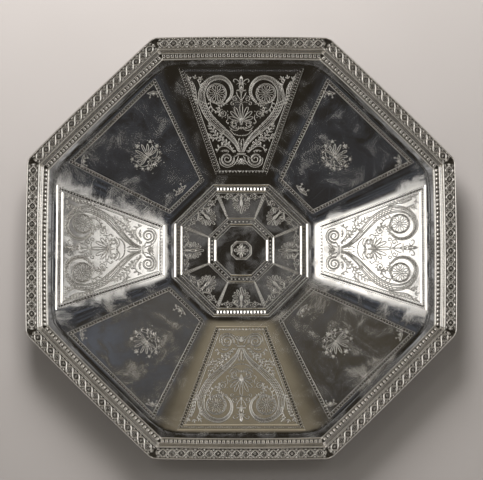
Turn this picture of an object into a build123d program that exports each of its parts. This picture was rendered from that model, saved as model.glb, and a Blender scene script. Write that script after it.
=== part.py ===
from build123d import *
import os
from math import cos, pi, radians, sin, tan

# Octagonal silver salver: a dished plate with engraved facets, a mitred two-part border on its
# edge, and four feet underneath. Millimetres, +Z up. The origin is on the surface the salver
# stands on, under its centre. Two opposite sides are square to X and two are square to Y.

# ---- driving dimensions ----------------------------------------------------------------------
SIDES = 8
FEET = 4
across_flats = 305.0  # nominal 12 inch salver, flat to flat over the border
sheet = 1.2  # thickness of the plate, measured vertically
centre_clearance = 7.0  # from the table to the underside of the flat centre
facet_slope = 8.0  # degrees that each of the eight facets rises outwards
centre_flat = 50.0  # centre to the crease where a facet starts, square to a side
facet_end = 133.0  # centre to the crease where the plain band starts
side_bow = 0.8  # how far the middle of each border side stands out past a straight line
corner_round = 8.0  # radius of the border's outer corners
smallest_round = 0.5  # a corner with a smaller radius than this is left sharp

# widths of the border's parts, from the outer edge inwards
outer_fillet_width = 1.0
guilloche_width = 6.8
inner_fillet_width = 1.45
groove_width = 1.15
cove_width = 1.5
dentil_width = 2.45
edge_fillet_width = 1.45

# heights of the border's parts above the plain band
outer_fillet_height = 4.3
guilloche_height = 4.1
inner_fillet_height = 4.6
groove_height = 2.6
cove_height = 3.0
dentil_height = 1.9
edge_fillet_height = 1.4
border_lip = 1.5  # how far the border strip hangs down outside the plate's edge
lip_thickness = 1.3
plate_gap = 0.2  # solder gap between the plate's edge and that lip

# feet
foot_reach = 98.0  # centre of the salver to the centre of each foot
first_foot = 45.0  # degrees from +X to the first foot, on a diagonal facet
foot_pad_radius = 13.0
foot_pad_thickness = 1.2
foot_base_radius = 5.5  # flat that the foot stands on
foot_ball_radius = 9.4  # widest point of the ball
foot_neck_radius = 5.0  # narrowest point, between the ball and the pad
foot_flare_radius = 7.0  # where the neck runs into the pad
foot_shoulder_radius = 5.6  # where the ball runs into the neck
foot_ball_height = 8.6
foot_neck_height = 9.8
foot_flare_height = 11.4

# ---- places that follow from them ------------------------------------------------------------
half_width = across_flats / 2
guilloche_outer = half_width - outer_fillet_width
guilloche_inner = guilloche_outer - guilloche_width
strip_inner = guilloche_inner - inner_fillet_width
groove_inner = strip_inner - groove_width
cove_inner = groove_inner - cove_width
dentil_inner = cove_inner - dentil_width
moulding_inner = dentil_inner - edge_fillet_width
plate_edge = half_width - lip_thickness - plate_gap
rise = (facet_end - centre_flat) * tan(radians(facet_slope))
underside_centre = centre_clearance
underside_band = underside_centre + rise
band_top = underside_band + sheet
half_turn = pi / SIDES
corner_factor = 1 / cos(half_turn)  # centre to corner, over centre to side


def octagon(apothem):
    """Straight-sided octagon with its flats square to X and Y, drawn on the current sketch."""
    return RegularPolygon(apothem, SIDES, major_radius=False, rotation=180 / SIDES)


def bowed_octagon(apothem):
    """Octagon whose sides bow out a little, rounded at its corners in step with the outer edge."""
    straight = apothem - side_bow
    corners = []
    middles = []
    for side in range(SIDES):
        corner_angle = (2 * side + 1) * half_turn
        middle_angle = (2 * side + 2) * half_turn
        reach = straight * corner_factor
        corners.append((reach * cos(corner_angle), reach * sin(corner_angle)))
        middles.append((apothem * cos(middle_angle), apothem * sin(middle_angle)))
    with BuildSketch(Plane.XY, mode=Mode.PRIVATE) as outline:
        with BuildLine():
            for side in range(SIDES):
                ThreePointArc(corners[side], middles[side], corners[(side + 1) % SIDES])
        make_face()
        radius = corner_round - (half_width - apothem)
        if radius > smallest_round:
            fillet(outline.vertices(), radius)
    return outline.sketch_local


def border_band(outer, inner, low, high, wedge_side):
    """One side's length of a border band, mitred at both ends, from height low to height high."""
    reach = 2 * half_width
    first = (2 * wedge_side - 1) * half_turn
    last = (2 * wedge_side + 1) * half_turn
    first_corner = (reach * cos(first), reach * sin(first))
    last_corner = (reach * cos(last), reach * sin(last))
    with BuildSketch(Plane.XY.offset(low)) as section:
        Polygon((0, 0), first_corner, last_corner, align=None)
        add(bowed_octagon(outer), mode=Mode.INTERSECT)
        add(bowed_octagon(inner), mode=Mode.SUBTRACT)
    extrude(section.sketch, amount=high - low)


# ---- well plate: one sheet, flat centre, eight sloping facets, plain band and border ledge -----
with BuildPart() as well_plate:
    with BuildSketch(Plane.XY.offset(underside_centre)):
        octagon(centre_flat)
    with BuildSketch(Plane.XY.offset(underside_band)):
        octagon(facet_end)
    loft(ruled=True)
    with BuildSketch(Plane.XY.offset(underside_band)):
        add(bowed_octagon(plate_edge))
    extrude(amount=sheet)
    with BuildSketch(Plane.XY.offset(underside_centre + sheet)):
        octagon(centre_flat)
    with BuildSketch(Plane.XY.offset(band_top)):
        octagon(facet_end)
    loft(ruled=True, mode=Mode.SUBTRACT)

# ---- border strips: outer fillet, guilloche band and inner fillet, one length to each side -----
border_strips = []
for side in range(SIDES):
    with BuildPart() as border_strip:
        border_band(half_width, guilloche_outer, band_top, band_top + outer_fillet_height, side)
        border_band(guilloche_outer, guilloche_inner, band_top, band_top + guilloche_height, side)
        border_band(guilloche_inner, strip_inner, band_top, band_top + inner_fillet_height, side)
        border_band(half_width, half_width - lip_thickness, band_top - border_lip, band_top, side)
    border_strips.append(border_strip)

# ---- dentil mouldings: groove, cove, dentil row and edge fillet, one length to each side -------
dentil_mouldings = []
for side in range(SIDES):
    with BuildPart() as dentil_moulding:
        border_band(strip_inner, groove_inner, band_top, band_top + groove_height, side)
        border_band(groove_inner, cove_inner, band_top, band_top + cove_height, side)
        border_band(cove_inner, dentil_inner, band_top, band_top + dentil_height, side)
        border_band(dentil_inner, moulding_inner, band_top, band_top + edge_fillet_height, side)
    dentil_mouldings.append(dentil_moulding)

# ---- feet: a pad soldered to a diagonal facet, a neck and a flattened ball ---------------------
foot_top = underside_centre + (foot_reach - centre_flat) * tan(radians(facet_slope))
blank_top = foot_top + foot_pad_radius  # the turned blank runs past the facet and is cut off
feet = []
for corner in range(FEET):
    direction = radians(first_foot + 360 / FEET * corner)
    outward = Vector(cos(direction), sin(direction), 0)
    facet_normal = Vector(0, 0, 1) - outward * tan(radians(facet_slope))
    foot_base = outward * foot_reach
    profile_plane = Plane(origin=foot_base, x_dir=outward, z_dir=outward.cross(Vector(0, 0, 1)))
    facet_underside = Plane(origin=foot_base + Vector(0, 0, foot_top), z_dir=facet_normal)
    with BuildPart() as foot:
        with BuildSketch(profile_plane):
            with BuildLine():
                Polyline((0, blank_top), (0, 0), (foot_base_radius, 0))
                ThreePointArc(
                    (foot_base_radius, 0),
                    (foot_ball_radius, foot_ball_height / 2),
                    (foot_shoulder_radius, foot_ball_height),
                )
                ThreePointArc(
                    (foot_shoulder_radius, foot_ball_height),
                    (foot_neck_radius, foot_neck_height),
                    (foot_flare_radius, foot_flare_height),
                )
                Polyline(
                    (foot_flare_radius, foot_flare_height),
                    (foot_flare_radius, blank_top),
                    (0, blank_top),
                )
            make_face()
        revolve(axis=Axis(foot_base, (0, 0, 1)))
        split(bisect_by=facet_underside, keep=Keep.BOTTOM)
        with BuildSketch(facet_underside):
            Circle(foot_pad_radius)
        extrude(amount=-foot_pad_thickness)
    feet.append(foot)

# ---- one STEP per piece ----------------------------------------------------------------------
os.makedirs("parts", exist_ok=True)
well_plate.part.label = "well_plate"
export_step(well_plate.part, "parts/well_plate.step")
for number, border_strip in enumerate(border_strips, start=1):
    border_strip.part.label = f"border_strip_{number}"
    export_step(border_strip.part, f"parts/border_strip_{number}.step")
for number, dentil_moulding in enumerate(dentil_mouldings, start=1):
    dentil_moulding.part.label = f"dentil_moulding_{number}"
    export_step(dentil_moulding.part, f"parts/dentil_moulding_{number}.step")
for number, foot in enumerate(feet, start=1):
    foot.part.label = f"foot_{number}"
    export_step(foot.part, f"parts/foot_{number}.step")
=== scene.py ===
import math

import bpy
import numpy as np
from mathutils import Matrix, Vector


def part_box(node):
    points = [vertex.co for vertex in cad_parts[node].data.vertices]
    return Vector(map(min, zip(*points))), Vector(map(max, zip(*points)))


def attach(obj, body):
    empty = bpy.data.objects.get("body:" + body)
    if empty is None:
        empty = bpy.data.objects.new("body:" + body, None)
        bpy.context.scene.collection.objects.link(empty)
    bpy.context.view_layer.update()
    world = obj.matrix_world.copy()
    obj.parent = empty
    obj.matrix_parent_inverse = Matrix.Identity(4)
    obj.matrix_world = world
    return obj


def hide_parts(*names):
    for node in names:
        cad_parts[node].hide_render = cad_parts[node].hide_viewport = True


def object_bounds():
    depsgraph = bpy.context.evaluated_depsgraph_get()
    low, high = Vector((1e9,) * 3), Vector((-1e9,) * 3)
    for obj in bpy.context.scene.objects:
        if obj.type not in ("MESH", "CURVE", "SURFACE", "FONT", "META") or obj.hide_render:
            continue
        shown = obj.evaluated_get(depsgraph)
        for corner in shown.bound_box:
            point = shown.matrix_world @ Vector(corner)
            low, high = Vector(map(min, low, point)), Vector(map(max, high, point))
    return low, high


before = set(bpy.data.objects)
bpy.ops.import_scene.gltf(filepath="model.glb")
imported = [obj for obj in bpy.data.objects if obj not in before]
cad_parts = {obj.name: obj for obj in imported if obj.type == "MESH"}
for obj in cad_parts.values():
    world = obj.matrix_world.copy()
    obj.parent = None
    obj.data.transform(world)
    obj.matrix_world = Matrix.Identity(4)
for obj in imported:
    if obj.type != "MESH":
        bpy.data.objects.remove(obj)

cad_low, cad_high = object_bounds()

# Octagonal silver salver. Blender works in metres; the ornament is laid out in millimetres, in
# plan, in one sector to each side of the octagon: x runs across the sector and y runs outwards
# from the centre of the salver. It is then turned into place and draped on the dished plate.

SIDES = 8
MM = 0.001
SECTOR = 2 * math.pi / SIDES
HALF_SECTOR = SECTOR / 2
TAN_HALF = math.tan(HALF_SECTOR)

# ---- sizes, from the frame where it has them
plate_low, plate_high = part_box("well_plate")
strip_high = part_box("border_strip_1")[1]

SHEET = 1.2  # thickness of the plate
HALF_WIDTH = strip_high.x / MM  # centre to the border's outer edge
BAND_TOP = plate_high.z / MM  # top of the plate's plain band
CENTRE_TOP = plate_low.z / MM + SHEET  # top of the plate's flat centre
SIDE_BOW = 0.8  # how far the middle of each border side stands out
CORNER_ROUND = 8.0  # radius of the border's outer corners
CENTRE_FLAT = 50.0  # centre to the crease where a facet starts
FACET_END = 133.0  # centre to the crease where the plain band starts
FACET_SLOPE = (BAND_TOP - CENTRE_TOP) / (FACET_END - CENTRE_FLAT)
CENTRE_BLEND = 1.1  # softness of the crease round the flat centre
BAND_BLEND = 0.45  # softness of the crease at the plain band
CREASE_SHARE = 0.028  # softness of the creases between facets, as a share of the reach
SUNK = 0.04  # how far the foot of a raised form is sunk in its ground
SHADE_LEVEL = 0.012  # height of the dark border of painted shade round each raised form, where a cut would be shaded
SHADE_WIDTH = 0.17  # how far that painted shade reaches past the form
SHADE_FREE_HEIGHT = 0.12  # height on the plate at which a form is free of the dark colour of tarnish and painted shade
SHADE_FREE_BORDER = 0.35  # the same on the border, whose relief is higher
LONG_STEP = 4.0  # spacing of points along a long straight ridge


# ---- the dished plate's surface
def softplus(value, blend):
    """A straight rise that starts at zero, with its corner rounded over about the blend."""
    return blend * np.logaddexp(0.0, value / blend)


def plate_surface(x, y):
    """Height of the plate's top, in millimetres, over points in plan in millimetres."""
    toward = [x * math.cos(k * SECTOR) + y * math.sin(k * SECTOR) for k in range(SIDES)]
    crease = np.maximum(0.5, CREASE_SHARE * np.max(toward, axis=0))
    reach = crease * np.logaddexp.reduce(np.array(toward) / crease, axis=0)
    rise = softplus(reach - CENTRE_FLAT, CENTRE_BLEND) - softplus(reach - FACET_END, BAND_BLEND)
    return CENTRE_TOP + FACET_SLOPE * rise


# ---- paths in plan
def line(start, end, step=1.0):
    """Straight path from start to end."""
    start, end = np.array(start, float), np.array(end, float)
    count = max(2, int(np.linalg.norm(end - start) / step) + 1)
    return start + (end - start) * np.linspace(0, 1, count)[:, None]


def arc(centre, radius, start, end, step=0.35):
    """Circular path; angles in degrees, anticlockwise when end is the larger."""
    count = max(5, int(abs(math.radians(end - start)) * radius / step) + 1)
    angle = np.radians(np.linspace(start, end, count))
    return np.array(centre) + radius * np.stack([np.cos(angle), np.sin(angle)], 1)


def spiral(centre, outer, inner, start, turn, step=0.3):
    """Spiral path from the outer radius at the start angle, through turn degrees, to the inner."""
    length = abs(math.radians(turn)) * (outer + inner) / 2
    count = max(8, int(length / step))
    share = np.linspace(0, 1, count)
    angle = np.radians(start + turn * share)
    radius = outer + (inner - outer) * share
    return np.array(centre) + (radius * np.array([np.cos(angle), np.sin(angle)])).T


def curve(points, step=0.5):
    """Smooth path through the points, evenly stepped."""
    p = np.array(points, float)
    p = np.vstack([2 * p[0] - p[1], p, 2 * p[-1] - p[-2]])
    path = []
    for a, b, c, d in zip(p, p[1:], p[2:], p[3:]):
        count = max(2, int(np.linalg.norm(c - b) / step) + 1)
        t = np.linspace(0, 1, count, endpoint=False)[:, None]
        path.append(
            0.5 * (2 * b + (c - a) * t + (2 * a - 5 * b + 4 * c - d) * t**2
                   + (3 * b - a - 3 * c + d) * t**3)
        )
    path.append(p[-2:-1])
    return np.vstack(path)


def normals_of(path):
    """Unit vectors to the left of a path at each of its points."""
    along = np.gradient(path, axis=0)
    along /= np.maximum(np.linalg.norm(along, axis=1), 1e-9)[:, None]
    return np.stack([-along[:, 1], along[:, 0]], 1)


def beside(path, distance):
    """The path moved to its left by a distance, which may vary along it."""
    return path + normals_of(path) * np.broadcast_to(distance, len(path))[:, None]


def turned(points, angle, centre=(0, 0)):
    """Points turned about a centre by an angle in degrees."""
    c, s = math.cos(math.radians(angle)), math.sin(math.radians(angle))
    return (np.array(points) - centre) @ np.array([[c, s], [-s, c]]) + centre


# ---- relief: many small raised closed forms gathered in one mesh
def tube_faces(rings, around):
    """Faces of a closed tube of rings of points, with a cap on both ends."""
    faces = []
    for i in range(rings - 1):
        for j in range(around):
            k = (j + 1) % around
            a, b = i * around, (i + 1) * around
            faces.append((a + j, a + k, b + k, b + j))
    faces.append(tuple(reversed(range(around))))
    faces.append(tuple(range((rings - 1) * around, rings * around)))
    return faces


def shade_flanged(middle):
    """A section's middle with a dark border of painted shade and a sunk foot on both sides of it."""
    right = [(1.0, SHADE_WIDTH, 0.0, -SUNK), (1.0, SHADE_WIDTH, 0.0, SHADE_LEVEL), (1.0, 0.0, 0.0, SHADE_LEVEL)]
    left = [(-edge, -past, lift, level) for edge, past, lift, level in reversed(right)]
    return right + middle + left


def straight_ridge(start, end, width):
    """Path and half widths of a straight ridge."""
    path = line(start, end, LONG_STEP)
    return path, np.full(len(path), width / 2)


class Relief:
    """Raised forms in plan. Each point is x, y, height and polish; each face lists point numbers."""

    def __init__(self):
        self.points = []
        self.faces = []
        self.smooth = []
        self.count = 0

    def add(self, points, faces, smooth=True):
        self.points.append(points)
        self.faces += [tuple(n + self.count for n in face) for face in faces]
        self.smooth += [smooth] * len(faces)
        self.count += len(points)

    def ridge(self, path, half, rise, section, polish=0.0):
        """A closed ridge along a path, polished ones crisp. Each section point gives a share of the
        half width, millimetres past it, a share of the rise and a level."""
        count = len(path)
        side = normals_of(path)
        rings = []
        for edge, past, lift, level in section:
            offset = edge * half + past
            shine = np.full(count, polish)
            rings.append(np.column_stack([path + side * offset[:, None], rise * lift + level, shine]))
        around = len(section)
        points = np.stack(rings, 1).reshape(-1, 4)
        self.add(points, tube_faces(count, around), smooth=polish == 0)

    def stroke(self, path, width=0.5, height=0.2, taper=0.35):
        """A rounded ridge along a path, narrowed to the taper share of its width at both ends."""
        path = np.asarray(path, float)
        count = len(path)
        ends = np.minimum(np.arange(count), np.arange(count)[::-1]) / 3
        share = np.minimum(1.0, taper + (1 - taper) * ends)
        half = share * np.broadcast_to(width, count) / 2
        rise = share * np.broadcast_to(height, count)
        crown = [(0.68, 0.0, 0.72, 0.0), (0.0, 0.0, 1.0, 0.0), (-0.68, 0.0, 0.72, 0.0)]
        self.ridge(path, half, rise, shade_flanged(crown))

    def trail(self, points, width, height):
        """A stroke along a smooth path through the points."""
        self.stroke(curve(points), width, height)

    def coil(self, centre, outer, inner, start, turn, width, height):
        """A stroke along a spiral."""
        self.stroke(spiral(centre, outer, inner, start, turn), width, height)

    def rule(self, start, end, width, height, step=LONG_STEP):
        """A straight stroke of even width."""
        self.stroke(line(start, end, step), width, height, taper=1.0)

    def ring(self, centre, radius, width, height):
        """A stroke round a circle."""
        self.stroke(arc(centre, radius, 0, 360), width, height, taper=1.0)

    def bar(self, start, end, width, height, tilt=2.5):
        """A straight flat-topped bar whose top leans to its right by the tilt in degrees."""
        path, half = straight_ridge(start, end, width)
        rise = np.full(len(path), height)
        lean = math.tan(math.radians(tilt)) * width / 2
        top = [(0.92, 0.0, 1.0, lean), (-0.92, 0.0, 1.0, -lean)]
        self.ridge(path, half, rise, shade_flanged(top), polish=1.0)

    def channel(self, start, end, width):
        """A dark strip, almost level with its ground: painted shade under a row of pads."""
        path, half = straight_ridge(start, end, width)
        top = SHADE_LEVEL / 2
        section = [(1.0, 0.0, 0.0, -SUNK), (1.0, 0.0, 0.0, top), (-1.0, 0.0, 0.0, top),
                   (-1.0, 0.0, 0.0, -SUNK)]
        self.ridge(path, half, half, section)

    def roof(self, start, end, width, slope=8.0, wall=0.05):
        """A straight polished bar with two slopes, in degrees, that meet along its middle."""
        path, half = straight_ridge(start, end, width)
        rise = half * math.tan(math.radians(slope))
        top = [(0.96, 0.0, 0.0, wall), (0.0, 0.0, 1.0, wall), (-0.96, 0.0, 0.0, wall)]
        self.ridge(path, half, rise, shade_flanged(top), polish=1.0)

    def block(self, place, along, across, angle, slope=9.0, wall=0.12):
        """A small polished roofed block; its ridge lies across the row that runs at the angle."""
        step = turned([(across / 2, 0)], angle + 90)[0]
        place = np.array(place)
        self.roof(place - step, place + step, along, slope, wall)

    def form(self, outline, height=0.25, shoulder=0.75, crown=0.35, centre=None):
        """A low rounded form over an anticlockwise outline."""
        outline = np.asarray(outline, float)
        centre = outline.mean(0) if centre is None else np.array(centre)
        count = len(outline)
        grow = 1 + SHADE_WIDTH / np.linalg.norm(outline - centre, axis=1).mean()
        rings = []
        # the first two rings are a dark border of painted shade round the form
        for scale, level in ((grow, -SUNK), (grow, SHADE_LEVEL), (1.0, SHADE_LEVEL), (0.97, 0.3 * height),
                             (shoulder, 0.8 * height), (crown, height)):
            ring = centre + (outline - centre) * scale
            rings.append(np.column_stack([ring, np.full(count, level), np.zeros(count)]))
        self.add(np.vstack(rings), tube_faces(len(rings), count))

    def bead(self, x, y, length, width=None, angle=0.0, height=0.3, sides=8, shoulder=0.75):
        """A low dome or block on an oval or many-sided base; the angle turns its length."""
        width = length if width is None else width
        corner = (np.arange(sides) + 0.5) * 2 * math.pi / sides
        grow = 1 / math.cos(math.pi / sides) if sides == 4 else 1.0
        oval = np.column_stack([np.cos(corner) * length, np.sin(corner) * width]) * grow / 2
        self.form(turned(oval, angle) + (x, y), height, shoulder, shoulder * 0.5, (x, y))

    def petal(self, base, angle, length, width, height=0.25, swell=0.62):
        """A drop-shaped form that grows from its base; swell says how far out it is widest."""
        share = np.array([0.0, 0.22, 0.45, 0.66, 0.84, 0.96, 1.0])
        half = np.interp(share, [0, swell, 1], [0.12, 1.0, 0.0]) ** 0.6
        half[-1] = 0.0
        x = share * length
        y = half * width / 2
        right = np.column_stack([x, -y])
        left = np.column_stack([x, y])[::-1][1:]
        outline = turned(np.vstack([right, left]), angle) + np.array(base)
        self.form(outline, height)

    def loop(self, base, angle, length, width, stroke=0.4, height=0.2):
        """The outline of a drop-shaped petal that grows from its base."""
        t = np.linspace(0, 2 * math.pi, max(12, int(length * 3)))
        x = (1 - np.cos(t)) / 2 * length
        y = -np.sin(t) * ((1 - np.cos(t)) / 2) ** 0.7 * width / 2
        self.stroke(turned(np.column_stack([x, y]), angle) + np.array(base), stroke, height)

    def merge(self, other, mirror=False, move=(0.0, 0.0), angle=0.0, scale=1.0):
        """Adds a copy of another relief, mirrored in x, scaled, turned and moved."""
        points = np.vstack(other.points)
        faces = other.faces
        if mirror:
            points[:, 0] *= -1
            faces = [tuple(reversed(face)) for face in faces]
        points[:, :2] = turned(points[:, :2] * scale, angle) + np.array(move)
        self.points.append(points)
        self.faces += [tuple(n + self.count for n in face) for face in faces]
        self.smooth += other.smooth
        self.count += len(points)


def make_object(name, points, faces, material, relief, smooth=True, polish=0.0, replaced=()):
    """An object from points in millimetres, riding on the root body. Relief runs from 0 in the
    recesses to 1 on top, polish is 1 on bright-cut forms, and smooth says which faces are."""
    mesh = bpy.data.meshes.new(name)
    mesh.from_pydata((np.asarray(points) * MM).tolist(), [], faces)
    flags = np.broadcast_to(smooth, len(faces))
    mesh.polygons.foreach_set("use_smooth", flags.tolist())
    for key, value in (("relief", relief), ("polish", polish)):
        layer = mesh.attributes.new(key, "FLOAT", "POINT")
        layer.data.foreach_set("value", np.broadcast_to(value, len(points)).astype(np.float32))
    mesh.materials.append(material)
    mesh.validate()
    piece = bpy.data.objects.new(name, mesh)
    bpy.context.scene.collection.objects.link(piece)
    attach(piece, "root")
    if replaced:
        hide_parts(*replaced)
    return piece


def sector_plan(points, sector):
    """Turns sector points, x across and y outwards, to the plan of the whole salver."""
    angle = sector * SECTOR
    x = points[:, 0] * math.sin(angle) + points[:, 1] * math.cos(angle)
    y = -points[:, 0] * math.cos(angle) + points[:, 1] * math.sin(angle)
    return x, y


def drape(name, relief, sectors, material):
    """One object of a relief laid on the plate in each of the sectors."""
    flat = np.vstack(relief.points)
    points = []
    faces = []
    for number, sector in enumerate(sectors):
        x, y = sector_plan(flat, sector)
        points.append(np.column_stack([x, y, plate_surface(x, y) + flat[:, 2]]))
        faces += [tuple(n + number * len(flat) for n in face) for face in relief.faces]
    height = np.tile(np.clip(flat[:, 2] / SHADE_FREE_HEIGHT, 0, 1), len(sectors))
    polish = np.tile(flat[:, 3], len(sectors))
    smooth = np.tile(relief.smooth, len(sectors))
    return make_object(name, np.vstack(points), faces, material, height, smooth,
                       polish)


# ---- motifs
def bud(relief, base, angle, size, height=0.22):
    """A three-lobed leaf bud that grows from its base."""
    for lean, length in ((-48, 0.75), (48, 0.75), (0, 1.0)):
        relief.petal(base, angle + lean, size * length, size * 0.27, height)


def leafy_stem(relief, points, leaf, width=0.4, height=0.18, every=2.2, first=1.0):
    """A stem with leaves in turn on both sides and a bud at its end."""
    path = curve(points)
    relief.stroke(path, width, height)
    along = np.gradient(path, axis=0)
    travel = np.concatenate([[0], np.cumsum(np.linalg.norm(np.diff(path, axis=0), axis=1))])
    place = first
    side = 1
    while place < travel[-1] - leaf * 0.4:
        i = int(np.searchsorted(travel, place))
        angle = math.degrees(math.atan2(along[i, 1], along[i, 0]))
        relief.petal(path[i], angle + 52 * side, leaf, leaf * 0.45, height * 1.1)
        place += every / 2
        side = -side
    angle = math.degrees(math.atan2(along[-1, 1], along[-1, 0]))
    bud(relief, path[-1], angle, leaf * 1.15, height * 1.1)


def rosette(relief, centre, radius, petals=8):
    """A round flower: a scalloped ring, outlined petals and a centre bead."""
    x, y = centre
    relief.ring(centre, radius, 0.45, 0.2)
    relief.ring(centre, radius * 0.9, 0.28, 0.14)
    for i in range(petals):
        angle = 360 * (i + 0.5) / petals
        inner = turned([(radius * 0.22, 0)], angle)[0] + np.array(centre)
        relief.loop(inner, angle, radius * 0.62, radius * 0.42, 0.4, 0.22)
        lobe = turned([(radius * 0.86, 0)], angle + 180 / petals)[0] + np.array(centre)
        relief.bead(lobe[0], lobe[1], radius * 0.13, height=0.2, sides=6)
    relief.ring(centre, radius * 0.2, 0.35, 0.2)
    relief.bead(x, y, radius * 0.2, height=0.3, sides=8)


def fine_hatch(relief, path, inner, outer, pitch=1.0, width=0.26, height=0.12, slant=0.6):
    """Short slanting cuts between two lines that run beside a path."""
    travel = np.concatenate([[0], np.cumsum(np.linalg.norm(np.diff(path, axis=0), axis=1))])
    count = max(2, int(travel[-1] / pitch))
    side = normals_of(path)
    for i in range(1, count):
        near = travel[-1] * (i - slant / 2) / count
        far = travel[-1] * (i + slant / 2) / count
        a = [np.interp(near, travel, path[:, k] + side[:, k] * inner) for k in (0, 1)]
        b = [np.interp(far, travel, path[:, k] + side[:, k] * outer) for k in (0, 1)]
        relief.stroke(np.array([a, b]), width, height, taper=1.0)


def even_row(start, end, pitch):
    """Places evenly set between two points, and the direction from one to the other."""
    start, end = np.array(start, float), np.array(end, float)
    length = np.linalg.norm(end - start)
    count = max(1, round(length / pitch))
    angle = math.degrees(math.atan2(end[1] - start[1], end[0] - start[0]))
    return [start + (end - start) * (i + 0.5) / count for i in range(count)], angle


# ---- panel borders
PANEL_OUTER = 130.8  # centre of the salver to a panel's outer edge
PANEL_INNER = 54.2  # centre of the salver to a panel's inner edge
ROPE_PITCH = 1.45  # beads of the rope edge
SPOT_PITCH = 2.2  # pads of the row beside it
BLOCK_PITCH = 1.65  # polished blocks at a square-on panel's outer edge
TOOTH_PITCH = 2.3  # teeth at its inner edge
SHADE_STRIP_WIDTH = 1.3  # dark strip of painted shade under the pads
PAD_SIZE = (0.85, 1.0)  # along and across the row
ROPE_LEAN = 42  # degrees that the beads of the rope lean


class Panel:
    """The trapezium of one panel, which gives its lines at any inset from its edge."""

    def __init__(self, outer_half, inner_half):
        self.slope = (outer_half - inner_half) / (PANEL_OUTER - PANEL_INNER)
        self.inner_half = inner_half
        self.slant = math.sqrt(1 + self.slope**2)

    def corner(self, end, inset):
        """Right-hand corner at the outer (1) or inner (-1) end."""
        y = PANEL_OUTER - inset if end > 0 else PANEL_INNER + inset
        x = self.inner_half + (y - PANEL_INNER) * self.slope - inset * self.slant
        return np.array([x, y])

    def rail(self, relief, inset, width, height, sides="oilr"):
        """Plain lines along the sides named: o outer, i inner, l left, r right."""
        outer, inner = self.corner(1, inset), self.corner(-1, inset)
        flip = np.array([-1, 1])
        ends = {
            "o": (outer * flip, outer),
            "i": (inner * flip, inner),
            "l": (inner * flip, outer * flip),
            "r": (inner, outer),
        }
        for side in sides:
            if side in "oi":
                relief.bar(*ends[side], width, height)
            else:
                relief.rule(*ends[side], width, height)


def rope(relief, start, end, lean=ROPE_LEAN):
    """A twisted rope edge: a row of small slanting beads."""
    thick = 0.78
    places, angle = even_row(start, end, ROPE_PITCH)
    for x, y in places:
        relief.bead(x, y, thick * 1.35, thick * 0.62, angle + lean, 0.22, sides=6)


def spots(relief, start, end, length, width):
    """A row of small raised pads with gaps of painted shade between them."""
    places, angle = even_row(start, end, SPOT_PITCH)
    for x, y in places:
        relief.bead(x, y, length, width, angle, 0.2, shoulder=0.85)


def panel_border(relief, panel, plain_outer, wide):
    """A rope edge and a row of pads on a dark strip of painted shade, with a line inside. The
    square-on panels have a second rope, polished bars and a row of teeth; the diagonal panels have
    neither."""
    flip = np.array([-1, 1])
    outer_rope, squares, inner_rope, inside = (share * wide for share in (0.15, 0.46, 0.77, 1.0))
    for mirror in (1, -1):
        side = np.array([mirror, 1])
        lean = ROPE_LEAN * mirror
        for inset in (outer_rope, inner_rope) if plain_outer else (outer_rope,):
            rope(relief, panel.corner(-1, inset) * side, panel.corner(1, inset) * side, lean=lean)
        start, end = panel.corner(-1, squares) * side, panel.corner(1, squares) * side
        relief.channel(start, end, SHADE_STRIP_WIDTH)
        spots(relief, start, end, *PAD_SIZE)
    if plain_outer:
        panel.rail(relief, inside, 0.4, 0.2)
        panel.rail(relief, 0.25, 1.0, 0.18, "o")
        row = panel.corner(1, 2.2)
        for place in even_row(row * flip, row, BLOCK_PITCH)[0]:
            relief.block(place, 0.9, 1.2, 0)
        panel.rail(relief, 3.9, 1.2, 0.2, "o")
        inner = panel.corner(-1, 2.6)
        for x, y in even_row(inner * flip, inner, TOOTH_PITCH)[0]:
            tooth = np.array([(-0.95, 0.85), (0.0, -0.85), (0.95, 0.85)]) + (x, y)
            relief.form(tooth, 0.22)
        panel.rail(relief, 0.7, 1.1, 0.18, "i")
    else:
        ring = [panel.corner(1, inner_rope), panel.corner(1, inner_rope) * flip,
                panel.corner(-1, inner_rope) * flip, panel.corner(-1, inner_rope)]
        for start, end in zip(ring, ring[1:] + ring[:1]):
            relief.rule(start, end, 0.42, 0.16)
        for end in (1, -1):
            rope(relief, panel.corner(end, outer_rope) * flip, panel.corner(end, outer_rope))
            row = panel.corner(end, squares)
            relief.channel(row * flip, row, SHADE_STRIP_WIDTH)
            spots(relief, row * flip, row, *PAD_SIZE)


# ---- the four square-on panels: a heart of scrolls
def lyre_scroll(relief):
    """Left half of the heart: a ribbon that rises from the collar and curls round a rosette."""
    stem = curve([
        (-1.3, 71.0), (-3.6, 76.5), (-8.6, 82.6), (-15.6, 88.6), (-22.0, 94.9), (-26.4, 102.2),
        (-28.3, 109.4), (-27.3, 115.9), (-24.0, 120.6), (-19.4, 123.2), (-14.6, 123.6),
        (-10.5, 121.7), (-7.6, 118.2), (-6.6, 113.6), (-7.8, 109.4), (-10.9, 106.0),
    ])
    share = np.linspace(0, 1, len(stem))
    half = np.interp(share, [0, 0.12, 0.3, 0.5, 0.66, 0.8, 1.0], [0.6, 1.5, 2.4, 2.3, 1.5, 1.1, 0.5])
    relief.stroke(beside(stem, half), 0.55, 0.24)
    relief.stroke(beside(stem, -half), 0.55, 0.24)
    relief.stroke(beside(stem, half * 0.55), 0.32, 0.16)
    relief.stroke(beside(stem, -half * 0.55), 0.32, 0.16)
    relief.stroke(stem, 0.3, 0.14)
    count = len(stem)
    twisted = slice(int(count * 0.30), int(count * 0.50))
    fine_hatch(relief, stem[twisted], -2.2, 2.2, 2.1, 0.36, 0.18, 1.6)
    fine_hatch(relief, stem[int(count * 0.5) : int(count * 0.74)], 0.5, 1.4, 0.9)
    fine_hatch(relief, stem[int(count * 0.06) : int(count * 0.3)], -1.7, -1.0, 0.8)


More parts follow.
